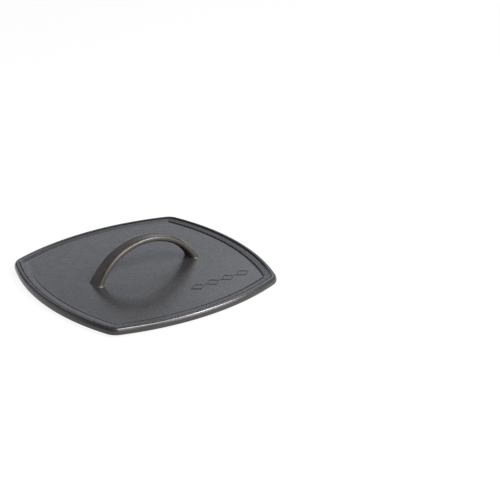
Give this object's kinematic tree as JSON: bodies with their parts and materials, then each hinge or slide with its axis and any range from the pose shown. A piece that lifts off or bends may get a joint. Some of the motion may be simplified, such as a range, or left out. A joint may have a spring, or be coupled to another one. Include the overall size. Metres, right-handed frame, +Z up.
{
  "type": "cast iron grill press",
  "caption": "Square cast-iron grill press with bowed sides, a raised rim, an arched bar handle and straight ribs underneath, for holding food flat while it cooks.",
  "frame": {"origin": "middle of the plate, on the plane of the rib tips, where the press rests", "axes": "+Z up through the handle, +X along the handle and the ribs, +Y across them"},
  "size_m": [0.21, 0.21, 0.0416],
  "materials": {
    "plate_iron": "satin, fine cast texture",
    "handle_iron": "satin, smoothed by grinding",
    "rib_iron": "satin, brighter along the rib edges"
  },
  "bodies": {
    "root": {"base_plate": "plate_iron", "rim_bead": "plate_iron", "border_step": "plate_iron", "ornament": "plate_iron", "handle_arch": "handle_iron", "handle_foot_left": "handle_iron", "handle_foot_right": "handle_iron", "rib_01": "rib_iron", "rib_02": "rib_iron", "rib_03": "rib_iron", "rib_04": "rib_iron", "rib_05": "rib_iron", "rib_06": "rib_iron", "rib_07": "rib_iron", "rib_08": "rib_iron", "rib_09": "rib_iron", "rib_10": "rib_iron", "rib_11": "rib_iron", "rib_12": "rib_iron", "rib_13": "rib_iron", "end_rib_back": "rib_iron", "end_rib_front": "rib_iron"}
  },
  "joints": []
}
